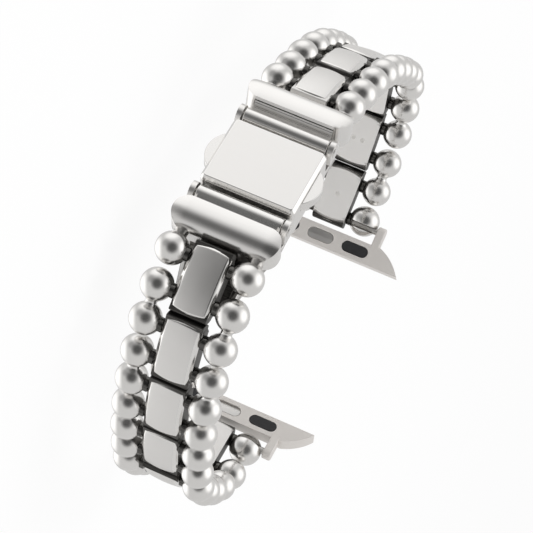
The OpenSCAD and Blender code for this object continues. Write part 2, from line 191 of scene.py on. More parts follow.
def end_place(side):
    bar = joint_at(f"{side}_end_swing")
    return placing(bar, joint_at(f"{side}_row_1") - bar, side)


def block_place(side, i):
    """The last block has the spring bar a little beyond its second row and nearer the wrist."""
    start = joint_at(f"{side}_row_{2 * i - 1}")
    along = joint_at(f"{side}_row_{2 * i}") - start
    if i == BLOCKS:
        aside = math.atan2(BAR_DEEP, in_mm("block_pitch")[0] + BAR_AHEAD)
        along = math.cos(aside) * along - math.sin(aside) * turned(along, side)
    return placing(start, along, side)


def pair_place(side, i):
    start = joint_at(f"{side}_row_{2 * i}")
    return placing(start, joint_at(f"{side}_row_{2 * i + 1}") - start, side)


def adapter_place(side):
    inward = -Vector(JOINTS[f"{side}_lock_push"]["axis"])
    return placing(joint_at(f"{side}_row_14"), turned(inward, side, inward=False), side)


# ---- shapes, in millimetres


def everything(bm):
    return bm.verts[:] + bm.edges[:] + bm.faces[:]


def as_object(bm, name):
    """Turns a form into an object of the scene."""
    mesh = bpy.data.meshes.new(name)
    bm.to_mesh(mesh)
    bm.free()
    thing = bpy.data.objects.new(name, mesh)
    bpy.context.scene.collection.objects.link(thing)
    return thing


def moved(bm, x, y=0.0, z=0.0):
    bmesh.ops.translate(bm, vec=(x, y, z), verts=bm.verts)
    return bm


def box_form(x0, x1, y0, y1, z0, z1):
    bm = bmesh.new()
    middle = Matrix.Translation(((x0 + x1) / 2, (y0 + y1) / 2, (z0 + z1) / 2))
    bmesh.ops.create_cube(bm, size=1.0, matrix=middle @ Matrix.Diagonal((x1 - x0, y1 - y0, z1 - z0, 1.0)))
    return bm


def lean(edge, axis):
    """How much of an edge runs along an axis, from 0 to 1."""
    return abs((edge.verts[0].co - edge.verts[1].co).normalized()[axis])


def edges_along(bm, axis):
    return [e for e in bm.edges if lean(e, axis) > 0.95]


def sharp_edges(bm, least=35):
    return [e for e in bm.edges if len(e.link_faces) == 2 and e.calc_face_angle() > math.radians(least)]


def soften(bm, edges, offset, segments):
    made = bmesh.ops.bevel(
        bm, geom=edges, offset=offset, offset_type="OFFSET", segments=segments, profile=0.5,
        affect="EDGES", clamp_overlap=True, material=-1,
    )
    return made["faces"]


def slices(bm, axis, places):
    """Cuts right across, so that a flat form can be bent or crowned."""
    normal = Vector((0, 0, 0))
    normal[axis] = 1
    for place in places:
        bmesh.ops.bisect_plane(bm, geom=everything(bm), dist=1e-5, plane_co=normal * place, plane_no=normal)


def keep_side(bm, point, normal, cap=True):
    """Cuts away what lies on the normal's side, and closes the cut if asked."""
    cut = bmesh.ops.bisect_plane(
        bm, geom=everything(bm), dist=1e-5, plane_co=point, plane_no=normal, clear_outer=True
    )
    rim = [e for e in cut["geom_cut"] if isinstance(e, bmesh.types.BMEdge)]
    if cap:
        bmesh.ops.contextual_create(bm, geom=rim)
    return rim


def grow(bm, edges):
    """Draws a wall from open edges, and gives its new points."""
    grown = bmesh.ops.extrude_edge_only(bm, edges=edges)["geom"]
    return [v for v in grown if isinstance(v, bmesh.types.BMVert)]


def steps(start, end, count):
    return [start + (end - start) * i / count for i in range(count + 1)]


def add_form(bm, other):
    """Puts one form into another as a shell of its own."""
    holder = bpy.data.meshes.new("holder")
    other.to_mesh(holder)
    other.free()
    bm.from_mesh(holder)
    bpy.data.meshes.remove(holder)
    return bm


def rod_form(radius, start, end, axis=2, sides=40, edge=0.0):
    """A round rod across the band (axis 2) or towards the wrist (axis 1), between two places."""
    bm = bmesh.new()
    turn = Matrix.Rotation(-math.pi / 2, 4, "X") if axis == 1 else Matrix()
    bmesh.ops.create_cone(
        bm, cap_ends=True, segments=sides, radius1=radius, radius2=radius, depth=end - start, matrix=turn
    )
    shift = Vector((0, 0, 0))
    shift[axis] = (start + end) / 2
    moved(bm, *shift)
    if edge:
        soften(bm, sharp_edges(bm, 60), edge, 2)
    return bm


def lathe_form(profile, centre_z, sides=40):
    """Spins a chain of (x, radius) points about the line that runs along X at centre_z."""
    bm = bmesh.new()
    verts = [bm.verts.new((x, max(r, 0.0), centre_z)) for x, r in profile]
    chain = [bm.edges.new(pair) for pair in zip(verts, verts[1:])]
    bmesh.ops.spin(
        bm, geom=verts + chain, cent=(0, 0, centre_z), axis=(1, 0, 0), angle=2 * math.pi,
        steps=sides, use_merge=True,
    )
    bmesh.ops.remove_doubles(bm, verts=bm.verts, dist=1e-4)
    bmesh.ops.recalc_face_normals(bm, faces=bm.faces)
    return bm


def oval_form(width, length_z, y0, y1, centre, edge=0.0):
    """A stadium-shaped plug or cutter that is longest across the band."""
    x, z = centre
    bm = box_form(x - width / 2, x + width / 2, y0, y1, z - length_z / 2, z + length_z / 2)
    soften(bm, edges_along(bm, 1), width / 2 * 0.995, 10)
    if edge:
        soften(bm, sharp_edges(bm, 60), edge, 3)
    return bm


def bead_arc(centre, radius, first, last, count):
    """Points on a bead's outline, by angle from its middle line."""
    return [
        (centre + radius * math.cos(math.radians(a)), radius * math.sin(math.radians(a)))
        for a in steps(first, last, count)
    ]


def neck_angle(radius, neck):
    return math.degrees(math.asin(min(1.0, neck / radius)))


def mark(bm, faces, name, value=1.0):
    """Marks faces for the steel's shader to read: polished, brushed or matt finishes, or painted shade in the
    gaps between parts.
    """
    layer = bm.loops.layers.float.get(name) or bm.loops.layers.float.new(name)
    for f in faces:
        if f.is_valid:
            for corner in f.loops:
                corner[layer] = value


def collar_form(start, end, x, y=0.0):
    """The collar on a pin between a block and a bead, dark all over with painted shade."""
    form = rod_form(in_mm("collar")[0], *sorted((start, end)), sides=28, edge=0.15)
    mark(form, form.faces, "painted_shade")
    return moved(form, x, y)


def block_side():
    """Where a collar starts, just clear of the block's side."""
    return in_mm("block_width")[0] / 2 + 0.05


# ---- finished pieces


def finish_piece(bm, name, place, body, material, smooth=40):
    """Puts the form in its place in the bracelet and on its body, and instead of its CAD node if it has one."""
    stands_in = name in frame["nodes"]
    shown = name + "_dressed" if stands_in else name
    bmesh.ops.transform(bm, matrix=place, verts=bm.verts)
    piece = as_object(bm, shown)
    piece.data.materials.append(material)
    piece.data.shade_smooth()
    piece.data.set_sharp_from_angle(angle=math.radians(smooth))
    weighted = piece.modifiers.new("Flat faces", "WEIGHTED_NORMAL")
    weighted.keep_sharp = True
    weighted.weight = 60
    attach(piece, body)
    if stands_in:
        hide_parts(name)
    return piece


def carve(bm, *cutters):
    """Cuts other closed forms out of a closed form."""
    body = as_object(bm, "carved")
    tools = [as_object(c, "cutter") for c in cutters]
    for tool in tools:
        cut = body.modifiers.new("Cut", "BOOLEAN")
        cut.operation = "DIFFERENCE"
        cut.solver = "EXACT"
        cut.object = tool
    shape = bpy.data.meshes.new_from_object(body.evaluated_get(bpy.context.evaluated_depsgraph_get()))
    result = bmesh.new()
    result.from_mesh(shape)
    bpy.data.meshes.remove(shape)
    for thing in [body] + tools:
        old = thing.data
        bpy.data.objects.remove(thing)
        bpy.data.meshes.remove(old)
    bmesh.ops.remove_doubles(result, verts=result.verts, dist=1e-4)
    return result


def solid_copy(node):
    """A CAD node's own form, joined up and cleaned for bevelling, in metres."""
    bm = bmesh.new()
    bm.from_mesh(frame["nodes"][node].data)
    bmesh.ops.remove_doubles(bm, verts=bm.verts, dist=2e-6)
    bmesh.ops.dissolve_limit(bm, angle_limit=math.radians(0.6), verts=bm.verts, edges=bm.edges)
    return bm


# ---- shader nodes


def fill_socket(tree, socket, value):
    if isinstance(value, bpy.types.NodeSocket):
        tree.links.new(value, socket)
    else:
        socket.default_value = value


def fill_in(tree, n, **values):
    """Fills a node's inputs, each named by its label with _ for a space."""
    for label, value in values.items():
        fill_socket(tree, n.inputs[label.replace("_", " ")], value)
    return n


def add_node(tree, kind, **values):
    return fill_in(tree, tree.nodes.new("ShaderNode" + kind), **values)


def math_node(tree, operation, *values, clamp=False):
    n = add_node(tree, "Math")
    n.operation = operation
    n.use_clamp = clamp
    for socket, value in zip(n.inputs, values):
        fill_socket(tree, socket, value)
    return n.outputs[0]


def vector_node(tree, operation, a, b):
    n = add_node(tree, "VectorMath")
    n.operation = operation
    fill_socket(tree, n.inputs[0], a)
    fill_socket(tree, n.inputs[1], b)
    return n.outputs


def mix(tree, kind, factor, a, b):
    """Goes from a to b: numbers for FLOAT, colours for RGBA."""
    n = add_node(tree, "Mix")
    n.data_type = kind
    tree.links.new(factor, n.inputs[0])
    held = "RGBA" if kind == "RGBA" else "VALUE"
    ends = [s for s in n.inputs if s.name in ("A", "B") and s.type == held]
    for socket, value in zip(ends, (a, b)):
        fill_socket(tree, socket, (*value, 1.0) if isinstance(value, tuple) else value)
    return next(s for s in n.outputs if s.type == held)


def shade(rgb, tone):
    return tuple(min(1.0, c * tone) for c in rgb)


def object_place(tree):
    return add_node(tree, "TexCoord").outputs["Object"]


def noise(tree, where, scale, detail):
    return add_node(tree, "TexNoise", Vector=where, Scale=scale, Detail=detail).outputs["Fac"]


def ranged(tree, value, low, high):
    return add_node(tree, "MapRange", Value=value, To_Min=low, To_Max=high).outputs["Result"]


def toned(tree, base, value):
    return add_node(tree, "HueSaturation", Color=base, Value=value).outputs["Color"]


def add_bump(tree, shader, height, strength, distance):
    bump = add_node(tree, "Bump", Strength=strength, Distance=distance, Height=height)
    tree.links.new(bump.outputs["Normal"], shader.inputs["Normal"])


# ---- finishes


def made_once(store, fixed_name=None):
    """Makes a material or a node group the first time, and finds it by its name after that."""

    def wrap(make):
        def find(name=fixed_name, **options):
            return getattr(bpy.data, store).get(name) or make(name, **options)

        return find

    return wrap


def new_group(name, inputs, outputs):
    tree = bpy.data.node_groups.new(name, "ShaderNodeTree")
    for label, value in inputs.items():
        tree.interface.new_socket(label, in_out="INPUT", socket_type="NodeSocketFloat").default_value = value
    for label in outputs:
        tree.interface.new_socket(label, in_out="OUTPUT", socket_type="NodeSocketFloat")
    return tree, tree.nodes.new("NodeGroupInput").outputs, tree.nodes.new("NodeGroupOutput")


def place_group(tree, group, **values):
    n = tree.nodes.new("ShaderNodeGroup")
    n.node_tree = group
    return fill_in(tree, n, **values).outputs


def start_material(name):
    material = bpy.data.materials.new(name)
    material.use_nodes = True
    tree = material.node_tree
    return material, tree, tree.nodes["Principled BSDF"]


@made_once("node_groups", "Satin grain")
def grain_group(name):
    """Fine blasted grain with broad, faint unevenness: a height, a roughness and a tone."""
    inputs = {"Size": 0.12 * MM, "Roughness": 0.3, "Spread": 0.06}
    tree, given, out = new_group(name, inputs, ("Height", "Roughness", "Tone"))
    where = object_place(tree)
    fine = noise(tree, where, math_node(tree, "DIVIDE", 1.0, given["Size"]), 3)
    uneven = math_node(tree, "SUBTRACT", noise(tree, where, 260, 2), 0.5)
    change = math_node(tree, "MULTIPLY", uneven, given["Spread"])
    rough = math_node(tree, "ADD", given["Roughness"], change, clamp=True)
    fill_in(tree, out, Height=fine, Roughness=rough, Tone=math_node(tree, "MULTIPLY_ADD", uneven, 0.06, 1.0))
    return tree


@made_once("node_groups", "Marked faces")
def marked_group(name):
    """Reads which faces of a piece are marked as polished, brushed or matt, or as carrying painted shade."""
    marks = {"Polished": "polish", "Painted shade": "painted_shade", "Brushed": "brush", "Matt": "matt"}
    tree, _, out = new_group(name, {}, marks)
    for label, attribute in marks.items():
        n = add_node(tree, "Attribute")
        n.attribute_name = attribute
        tree.links.new(n.outputs["Fac"], out.inputs[label])
    return tree


@made_once("node_groups", "Brushing lines")
def lines_group(name):
    """Brushing lines across the band: a height and a tone."""
    tree, given, out = new_group(name, {"Line": 0.12 * MM, "Contrast": 0.5}, ("Height", "Tone"))
    squeezed = vector_node(tree, "MULTIPLY", object_place(tree), (1.0, 1.0, 0.03))["Vector"]
    lines = noise(tree, squeezed, math_node(tree, "DIVIDE", 1.0, given["Line"]), 3)
    swing = math_node(tree, "MULTIPLY", math_node(tree, "SUBTRACT", lines, 0.5), given["Contrast"])
    fill_in(tree, out, Height=lines, Tone=math_node(tree, "MULTIPLY_ADD", swing, 4.0, 1.0))
    return tree


@made_once("materials")
def steel_material(name, tone=1.0, roughness=None, depth=1.0):
    """Satin steel with polished bevels and matt against the wrist, with painted shade where the links meet."""
    looks = bpy.context.scene.bracelet_looks
    material, tree, shader = start_material(name)
    rough = looks.satin if roughness is None else roughness
    grain = place_group(tree, grain_group(), Size=looks.grain, Roughness=rough, Spread=0.08)
    lines = place_group(tree, lines_group(), Line=looks.brush, Contrast=0.9)
    marked = place_group(tree, marked_group())
    # Painted shade: the dark colour, streaked with brushing lines, on faces marked as lying in the gaps
    streaked_shade = toned(tree, (*looks.painted_shade, 1.0), lines["Tone"])
    base = mix(tree, "RGBA", marked["Painted shade"], tuple(c * tone for c in looks.steel), streaked_shade)
    fill_in(
        tree, shader,
        Metallic=math_node(tree, "MULTIPLY_ADD", marked["Matt"], -0.75, 1.0),
        Base_Color=toned(tree, base, grain["Tone"]),
        Roughness=mix(tree, "FLOAT", marked["Polished"], grain["Roughness"], looks.polish),
    )
    lined = math_node(tree, "MAXIMUM", marked["Painted shade"], marked["Brushed"])
    height = mix(tree, "FLOAT", lined, grain["Height"], lines["Height"])
    height = math_node(tree, "MULTIPLY", height, math_node(tree, "SUBTRACT", 1.0, marked["Polished"]))
    add_bump(tree, shader, height, looks.grain_depth * depth, looks.grain * 0.5)
    return material


@made_once("materials", "Brushed blade steel")
def brushed_material(name):
    """Steel with long brushing lines along the band, for the clasp's base blade."""
    tone, along, across = 0.86, 160.0, 9000.0
    material, tree, shader = start_material(name)
    stretch = add_node(tree, "Mapping", Vector=object_place(tree), Scale=(along, across, across))
    lines = noise(tree, stretch.outputs["Vector"], 1.0, 4)
    steel = (*bpy.context.scene.bracelet_looks.steel, 1.0)
    fill_in(
        tree, shader,
        Metallic=1.0,
        Roughness=ranged(tree, lines, 0.24, 0.42),
        Base_Color=toned(tree, steel, ranged(tree, lines, tone * 0.94, tone * 1.04)),
    )
    add_bump(tree, shader, lines, 0.12, 0.02 * MM)
    return material


@made_once("materials", "Turned pin steel")
def turned_material(name):
    """Rods turned on a lathe: fine rings across the band."""
    steel = bpy.context.scene.bracelet_looks.steel
    material, tree, shader = start_material(name)
    rings = add_node(tree, "TexWave", Vector=object_place(tree), Scale=1500, Distortion=1.5)
    rings.bands_direction = "Z"
    rings = rings.outputs["Fac"]
    fill_in(
        tree, shader,
        Metallic=1.0,
        Roughness=ranged(tree, rings, 0.22, 0.34),
        Base_Color=mix(tree, "RGBA", rings, shade(steel, 0.8), shade(steel, 0.72)),
    )
    add_bump(tree, shader, rings, 0.1, 0.01 * MM)
    return material


@made_once("materials", "Blasted adapter metal")
def blasted_material(name):
    """The adapters' blasted metal: matt, warm and slightly mottled."""
    looks = bpy.context.scene.bracelet_looks
    material, tree, shader = start_material(name)
    grain = place_group(tree, grain_group(), Size=0.09 * MM, Roughness=looks.adapter_blast, Spread=0.1)
    # Painted highlight: faces marked as polished, the rails' long edges and the pockets' mouths, get a lighter
    # colour while the roughness stays the same
    polished = place_group(tree, marked_group())["Polished"]
    base = mix(tree, "RGBA", polished, tuple(looks.adapter), shade(looks.adapter, 1.18))
    base = toned(tree, base, grain["Tone"])
    fill_in(tree, shader, Metallic=0.3, Base_Color=base, Roughness=grain["Roughness"])
    add_bump(tree, shader, grain["Height"], 0.3, 0.05 * MM)
    return material


@made_once("materials", "Pad rubber")
def rubber_material(name):
    """Black moulded rubber with a fine texture and a little dust."""
    rubber = bpy.context.scene.bracelet_looks.rubber
    material, tree, shader = start_material(name)
    grain = place_group(tree, grain_group(), Size=0.2 * MM, Roughness=0.62, Spread=0.2)
    dust = mix(tree, "RGBA", grain["Height"], tuple(rubber), shade(rubber, 2.4))
    fill_in(tree, shader, Base_Color=dust, Roughness=grain["Roughness"])
    add_bump(tree, shader, grain["Height"], 0.4, 0.06 * MM)
    return material


def block_steel():
    return steel_material("Satin block steel", tone=1.05, roughness=0.46)


def bead_steel():
    return steel_material("Satin bead steel", roughness=0.24, depth=0.5)


def button_steel():
    return steel_material("Satin button steel", roughness=0.26)


# ---- the links


def eased(inside, width, drop):
    """How far a surface has dropped at a place that lies this far inside its edge."""
    return drop * max(0.0, 1.0 - inside / width) ** 1.5 if inside < width else 0.0


def block_form():
    """A block crowned both ways, with bowed ends, rounded corners and wide bevels along its sides."""
    pitch, reach, out, deep, width = in_mm("block_pitch", "block_reach", "block_out", "block_in", "block_width")
    corner, wide, narrow, knuckle = in_mm("block_corner", "bevel", "end_bevel", "knuckle")
    crown_along, crown_across, bow = 55, 38, 12
    wide_drop, narrow_drop, wrist_edge = 0.45, 0.2, 0.72
    half, middle = width / 2, pitch / 2
    end = middle + reach

    def inside(place):
        """Distances in from the long edges and from the ends."""
        return half - abs(place.z), end - abs(place.x - middle)

    def on_rim(face):
        across, along = inside(face.calc_center_median())
        return across < wide or along < narrow

    bm = box_form(-reach, pitch + reach, -out, deep, -half, half)
    soften(bm, edges_along(bm, 1), corner, 4)
    slices(bm, 1, [deep - wrist_edge])
    slices(bm, 0, steps(-reach + corner, pitch + reach - corner, 10))
    slices(bm, 0, [middle + s * (end - narrow * part) for s in (-1, 1) for part in (1.0, 0.6, 0.25)])
    slices(bm, 2, steps(-half + corner, half - corner, 6))
    slices(bm, 2, [s * (half - wide * part) for s in (-1, 1) for part in (1.0, 0.75, 0.5, 0.25)])
    bm.normal_update()
    mark(bm, [f for f in bm.faces if f.normal.y < -0.9 and on_rim(f)], "polish")
    for v in bm.verts:
        across, along = inside(v.co)
        at_end = along < corner + 1e-4
        if v.co.y < 0:
            v.co.y += (v.co.x - middle) ** 2 / crown_along + v.co.z**2 / crown_across
            v.co.y += max(eased(across, wide, wide_drop), eased(along, narrow, narrow_drop))
        if at_end:
            v.co.x -= math.copysign(bow - math.sqrt(bow**2 - v.co.z**2), v.co.x - middle)
        if at_end and v.co.y > deep - 0.1:
            v.co.x -= math.copysign(reach - math.sqrt(knuckle**2 - deep**2), v.co.x - middle)
    rims = [e for e in sharp_edges(bm, 50) if not lean(e, 1) > 0.9]
    mark(bm, soften(bm, rims, 0.08, 2), "polish")
    bm.normal_update()
    # Painted shade on the side walls and ends, which face into the gaps between links
    mark(bm, [f for f in bm.faces if abs(f.normal.y) < 0.3], "painted_shade")
    mark(bm, [f for f in bm.faces if f.normal.y > 0.9], "matt")
    return bm


def add_knuckle(bm, at, way, shaded=True):
    """The rounded end of a block about its pin, which hides the gap to the next block; when shaded, it is
    coloured all over with painted shade.
    """
    radius, width = in_mm("knuckle", "block_width")
    outer, wrist = -0.85, 1.9
    half = width / 2 - 0.1
    form = rod_form(radius, -half, half, sides=96)
    keep_side(form, (0, outer, 0), (0, -1, 0))
    keep_side(form, (0, wrist, 0), (0, 1, 0))
    keep_side(form, (0, 0, 0), (-way, 0, 0))
    soften(form, sharp_edges(form, 60), 0.08, 2)
    if shaded:
        mark(form, form.faces, "painted_shade")
    add_form(bm, moved(form, at))


def dimple_form(x, y, z):
    """The ball that cuts a dimple."""
    bm = bmesh.new()
    bmesh.ops.create_uvsphere(
        bm, u_segments=20, v_segments=12, radius=0.48, matrix=Matrix.Translation((x, y, z))
    )
    return bm


class BRACELET_OT_blocks(bpy.types.Operator):
    """Builds the rectangular centre blocks of both halves"""

    bl_idname = "bracelet.blocks"
    bl_label = "Centre blocks"

    def execute(self, context):
        pitch, deep = in_mm("block_pitch", "block_in")
        middle = pitch / 2

        def in_dimple(face):
            place = face.calc_center_median()
            return face.calc_area() < 0.05 and abs(place.x - middle) < 0.6 and place.y > 1.5

        for side in SIDES:
            for i in range(1, BLOCKS + 1):
                bm = block_form()
                if i in DIMPLES:
                    bm = carve(bm, *(dimple_form(middle, deep + 0.12, z) for z in DIMPLES[i]))
                    mark(bm, [f for f in bm.faces if in_dimple(f)], "matt")
                # The left half's first block keeps its clasp-side knuckle free of painted shade
                add_knuckle(bm, 0, -1, shaded=i > 1 or side == "right")
                add_knuckle(bm, pitch, 1)
                place, link = block_place(side, i), f"{side}_link_{i}"
                finish_piece(bm, f"{side}_block_{i}", place, link, block_steel(), smooth=50)
        return {"FINISHED"}


def pair_profile(pitch, radius, neck):
    """Bead, waisted neck, bead, from pole to pole."""
    foot, waist = neck_angle(radius, neck * 1.22), 0.18
    first = bead_arc(0, radius, 180, foot, 15)
    second = bead_arc(pitch, radius, 180 - foot, 0, 15)
    return first + [(pitch / 2 - waist, neck), (pitch / 2 + waist, neck)] + second


class BRACELET_OT_beads(bpy.types.Operator):
    """Builds the pairs of side beads, each two beads joined by a neck"""

    bl_idname = "bracelet.beads"
    bl_label = "Side beads"

    def execute(self, context):
        bead, offset, neck = in_mm("bead", "bead_offset", "neck")
        radius = bead / 2
        cap = offset - radius * 0.94
        for side in SIDES:
            for i in range(1, BLOCKS):
                pitch = joint_gap(f"{side}_row_{2 * i}", f"{side}_row_{2 * i + 1}")
                bm = bmesh.new()
                for z in (-offset, offset):
                    pair = lathe_form(pair_profile(pitch, radius, neck), z)
                    # Painted shade on the neck and on the bead halves that face the block
                    mark(pair, [f for f in pair.faces if abs(f.calc_center_median().z) < cap], "painted_shade")
                    add_form(bm, pair)
                    for x in (0, pitch):
                        add_form(bm, collar_form(math.copysign(block_side(), z), z, x))
                place, body = pair_place(side, i), f"{side}_pair_{i}"
                finish_piece(bm, f"{side}_beads_{i}", place, body, bead_steel())
        return {"FINISHED"}


class BRACELET_OT_slotted_beads(bpy.types.Operator):
    """Builds the slotted beads that sit on the spring bars next to the watch"""

    bl_idname = "bracelet.slotted_beads"
    bl_label = "Slotted beads"

    def execute(self, context):
        bead, offset, pitch = in_mm("end_bead", "bead_offset", "block_pitch")
        radius, slot, bore_radius = bead / 2, 1.1, 0.7
        for side in SIDES:
            both = bmesh.new()
            for s in (-1, 1):
                z = s * offset
                form = lathe_form(bead_arc(0, radius, 180, 0, 30), z, 48)
                ends = sorted((z - s * radius * 0.72, z + s * radius * 1.2))
                gap = box_form(BAR_AHEAD - slot / 2, BAR_AHEAD + slot / 2, BAR_DEEP, 6, *ends)
                bore = rod_form(bore_radius, *sorted((0, s * 12)), sides=32)
                form = carve(form, gap, moved(bore, BAR_AHEAD, BAR_DEEP))
                soften(form, sharp_edges(form, 50), 0.07, 2)
                add_form(both, form)
                add_form(both, collar_form(s * block_side(), z - s * radius * 0.7, 0.6, 0.15))
            place = block_place(side, BLOCKS) @ Matrix.Translation((pitch, 0, 0))
            link = f"{side}_link_{BLOCKS}"
            finish_piece(both, f"{side}_slotted_beads", place, link, bead_steel())
        return {"FINISHED"}


# ---- the clasp


def pill_outside(x):
    """Height of the bar's outside: a flat rise from the clasp's side, then a tight turn down."""
    centre, height, radius = PILL_TURN
    if x < centre:
        return height - radius + (x - centre) ** 2 / 20
    return height - math.sqrt(radius**2 - (x - centre) ** 2)


def pill_form(half):
    """The rounded bar across the band, domed outside, with a polished rim and two lines of painted shade along
    its wall.
    """
    near, far, round_end = 2.3, 7.56, 2.5
    fall, fall_length = 0.35, 2.4
    dark_lines = ((-2.15, -1.9), (-1.5, -1.4))
    centre, _, radius = PILL_TURN
    bm = box_form(near, far, -3.2, 1.4, -half, half)
    soften(bm, edges_along(bm, 1), round_end, 14)
    slices(bm, 0, steps(near + 0.4, centre, 6))
    slices(bm, 0, [centre + radius * math.sin(math.radians(a)) for a in range(8, 78, 8)])
    slices(bm, 2, [s * (half - inside) for s in (-1, 1) for inside in (0.6, 1.4, round_end)])
    for v in bm.verts:
        if v.co.y < 0:
            v.co.y = pill_outside(v.co.x) + fall * max(0.0, (abs(v.co.z) - half + fall_length) / fall_length) ** 2
    rims = [e for e in sharp_edges(bm, 28) if lean(e, 1) < 0.9]
    mark(bm, soften(bm, rims, 0.09, 2), "polish")

    def wall():
        return [f for f in bm.faces if f.normal.x < -0.99 and f.calc_center_median().x < near + 0.02]

    for height in sum(dark_lines, ()):
        faces = wall()
        around = set(faces) | {e for f in faces for e in f.edges} | {v for f in faces for v in f.verts}
        bmesh.ops.bisect_plane(bm, geom=list(around), dist=1e-5, plane_co=(0, height, 0), plane_no=(0, 1, 0))
    bm.normal_update()
    # The two lines on the wall carry painted shade; the rest of the wall is matt
    for f in wall():
        dark = any(low < f.calc_center_median().y < high for low, high in dark_lines)
        mark(bm, [f], "painted_shade" if dark else "matt")
    return bm


def bridge_form():
    """The plate between bar and barrel, sloping down from the barrel to the foot of the bar's wall."""
    near, far, half, slope = 0.5, 3.6, 6.9, 0.4
    bm = box_form(near, far, -1.47, 1.15, -half, half)
    soften(bm, sharp_edges(bm), 0.06, 2)
    slices(bm, 0, [0.9, 1.2, 1.5, 1.8])
    for v in bm.verts:
        if v.co.y < 0:
            v.co.y += slope * min(1.0, max(0.0, v.co.x - near))
    return bm


class BRACELET_OT_end_pieces(bpy.types.Operator):
    """Builds the end pieces: domed bar, barrel on the hinge bar, and the first beads"""

    bl_idname = "bracelet.end_pieces"
    bl_label = "End pieces"

    def execute(self, context):
        width, offset, bead = in_mm("pill_width", "bead_offset", "bead")
        radius, barrel_radius, barrel_half = bead / 2, 1.55, 7.4
        root, neck, flare = 7.0, 1.12, 1.3
        for side in SIDES:
            bm = pill_form(width / 2)
            barrel = rod_form(barrel_radius, -barrel_half, barrel_half, sides=64)
            rims = set(soften(barrel, sharp_edges(barrel, 60), 0.24, 3))
            mark(barrel, [f for f in barrel.faces if f not in rims], "brush")
            mark(barrel, rims, "polish")
            add_form(bm, barrel)
            add_form(bm, bridge_form())
            reach = joint_gap(f"{side}_end_swing", f"{side}_row_1")
            profile = [(root, 0.0), (root, neck), (reach - radius * 0.97, neck)]
            profile += bead_arc(reach, radius, 180 - neck_angle(radius, flare), 0, 16)
            for z in (-offset, offset):
                add_form(bm, lathe_form(profile, z))
                add_form(bm, collar_form(math.copysign(block_side(), z), z, reach))
            steel = steel_material("Satin end steel", roughness=0.23, depth=0.6)
            finish_piece(bm, f"{side}_end_piece", end_place(side), f"{side}_end", steel)
        return {"FINISHED"}


class BRACELET_OT_cover(bpy.types.Operator):
    """Builds the clasp's cover with its bevelled edges and button windows"""

    bl_idname = "bracelet.cover"
    bl_label = "Clasp cover"

    def execute(self, context):
        x, z = (size / 2 for size in in_mm("cover_length", "cover_width"))
        wall, blade_radius, blade_centre = 0.9, 62.5, 66.3
        shell = box_form(-x, x, -1.1, 4.6, -z, z)
        soften(shell, edges_along(shell, 1), 0.9, 5)
        top = [f for f in shell.faces if f.normal.y < -0.9]
        slope = bmesh.ops.inset_region(shell, faces=top, thickness=0.5, depth=0.8, use_even_offset=True)["faces"]
        mark(shell, slope, "polish")
        shell.normal_update()
        top = [e for e in sharp_edges(shell, 25) if max(v.co.y for v in e.verts) < -1.0]
        mark(shell, soften(shell, top, 0.1, 2), "polish")
        room = box_form(-x + wall, x - wall, -1.0, 6, -z + wall, z - wall)
        windows = box_form(-3.7, 3.7, -0.85, 1.15, -9, 9)
        blade = moved(rod_form(blade_radius, -10, 10, sides=360), 0, blade_centre)
        shell = carve(shell, room, windows, blade)
        steel = steel_material("Satin cover steel", tone=1.02, roughness=0.3)
        finish_piece(shell, "clasp_cover", clasp_place(), "clasp", steel, smooth=50)
        return {"FINISHED"}


class BRACELET_OT_buttons(bpy.types.Operator):
    """Builds the two half-moon push buttons"""

    bl_idname = "bracelet.buttons"
    bl_label = "Push buttons"

    def execute(self, context):
        half = in_mm("cover_width")[0] / 2
        chord, rise, lift = 7.2, 1.75, 0.15
        radius = (chord**2 / 4 + rise**2) / (2 * rise)
        for name, s in (("top_button", 1), ("bottom_button", -1)):
            bm = moved(rod_form(radius, -0.9, 0.9, axis=1, sides=96), 0, lift, half + rise - radius)
            keep_side(bm, (0, 0, half - 0.7), (0, 0, -1))
            soften(bm, sharp_edges(bm, 50), 0.22, 3)
            slide = box_form(-chord / 2, chord / 2, -0.75, 1.05, half - 1.5, half + 0.05)
            soften(slide, sharp_edges(slide), 0.08, 2)
            add_form(bm, slide)
            add_form(bm, box_form(-4.9, 4.9, -0.45, 0.75, half - 2.2, half - 1.0))
            add_form(bm, moved(rod_form(1.0, 3.1, half - 1.2, sides=24), 0, lift))
            if s < 0:
                bmesh.ops.rotate(bm, matrix=Matrix.Rotation(math.pi, 3, "Y"), verts=bm.verts)
            finish_piece(bm, name, clasp_place(), name, button_steel())
        return {"FINISHED"}


def drawn_in(across):
    """The share of its width that a blade keeps at a distance from the clasp's middle, in metres."""
    start, run, loss = 11.2, 4, 0.38
    away = max(0.0, abs(across) / MM - start)
    return 1 - loss * min(1.0, away / run)


def trim_below_ears(bm, bar):
    """Cuts off the strips below the ears that hold the hinge bar, in millimetres for the cut alone."""
    x, y = bar.x / MM, bar.y / MM
    ear_inside, ear_foot = 7.2, 1.75
    strips = (box_form(x - 4, x + 4, y + ear_foot, y + 9, *sorted((s * ear_inside, s * 9.5))) for s in (-1, 1))
    bmesh.ops.scale(bm, vec=(1 / MM,) * 3, verts=bm.verts)
    bm = carve(bm, *strips)
    bmesh.ops.scale(bm, vec=(MM,) * 3, verts=bm.verts)
    return bm


